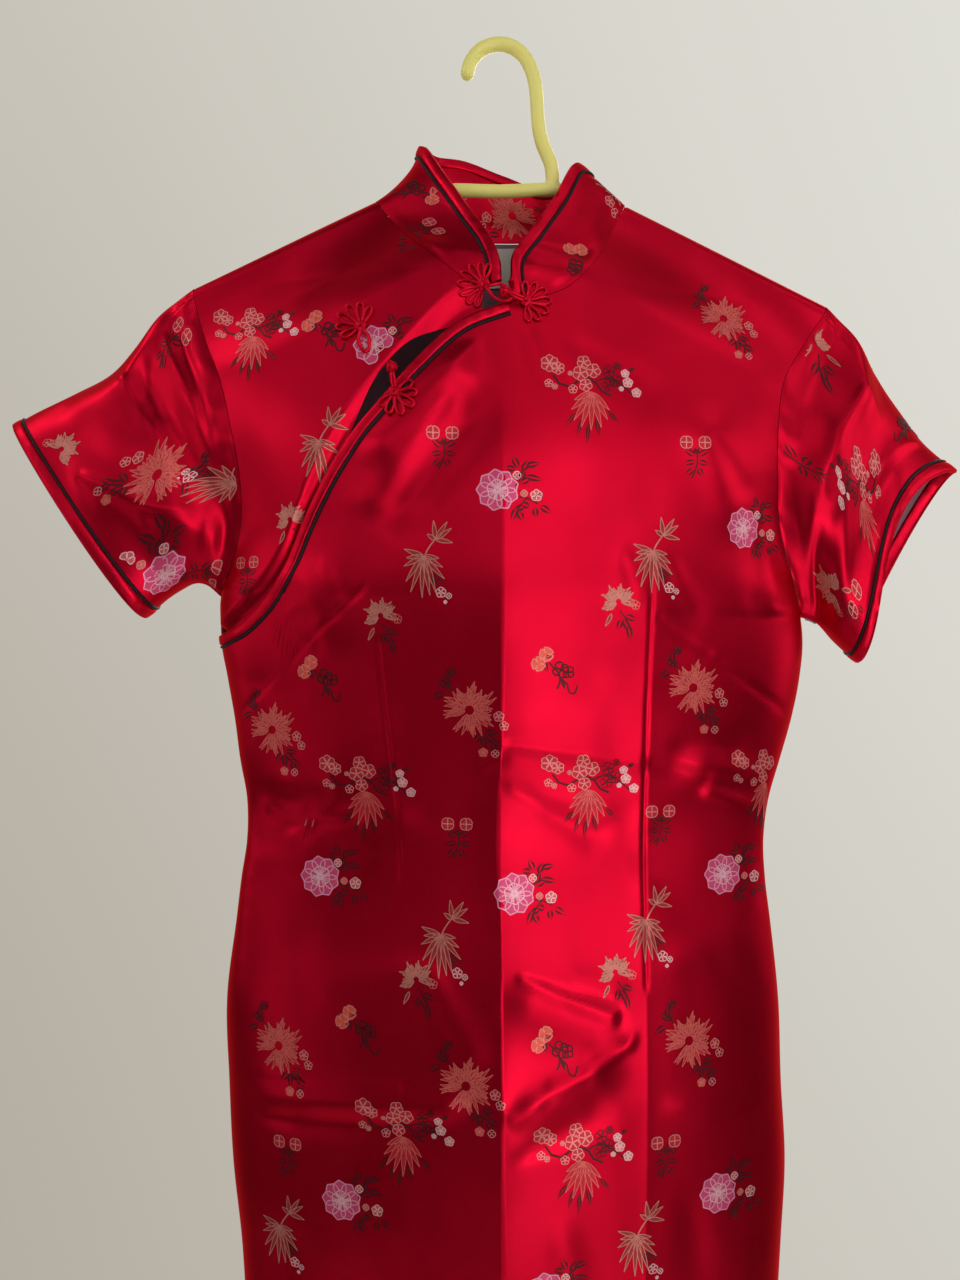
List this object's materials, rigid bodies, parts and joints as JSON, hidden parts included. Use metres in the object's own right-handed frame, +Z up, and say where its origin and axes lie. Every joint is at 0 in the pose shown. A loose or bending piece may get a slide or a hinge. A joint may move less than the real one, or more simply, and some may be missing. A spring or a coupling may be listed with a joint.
{
  "type": "cheongsam dress on a hanger",
  "caption": "Short-sleeved brocade cheongsam with stand collar, diagonal side opening and flower frogs, hanging on a one-piece plastic hanger.",
  "frame": {"origin": "the top of the inner curve of the hanger's hook, where it hangs", "axes": "+Z up, the dress's front towards -Y, +X to the viewer's right from the front"},
  "size_m": [0.5897, 0.1039, 1.0687],
  "materials": {
    "brocade": "red satin brocade with woven flowers",
    "binding": "plain red satin bias binding",
    "piping": "narrow black piping",
    "frog_cord": "red satin cord, looped and sewn",
    "label": "plain woven label, blank",
    "hanger": "pale yellow moulded plastic, lightly glossy"
  },
  "bodies": {
    "root": {"front": "brocade", "under_front": "brocade", "back": "brocade", "sleeve_right": "brocade", "sleeve_left": "brocade", "collar": "brocade", "collar_binding": "binding", "opening_binding": "binding", "sleeve_binding_right": "binding", "sleeve_binding_left": "binding", "collar_piping": "piping", "opening_piping": "piping", "sleeve_piping_right": "piping", "sleeve_piping_left": "piping", "frog_neck_flower_left": "frog_cord", "frog_neck_flower_right": "frog_cord", "frog_chest_flower_left": "frog_cord", "frog_chest_flower_right": "frog_cord", "frog_neck_knot": "frog_cord", "frog_chest_knot": "frog_cord", "frog_neck_loop": "frog_cord", "frog_chest_loop": "frog_cord", "neck_label": "label", "hanger": "hanger"}
  },
  "joints": []
}
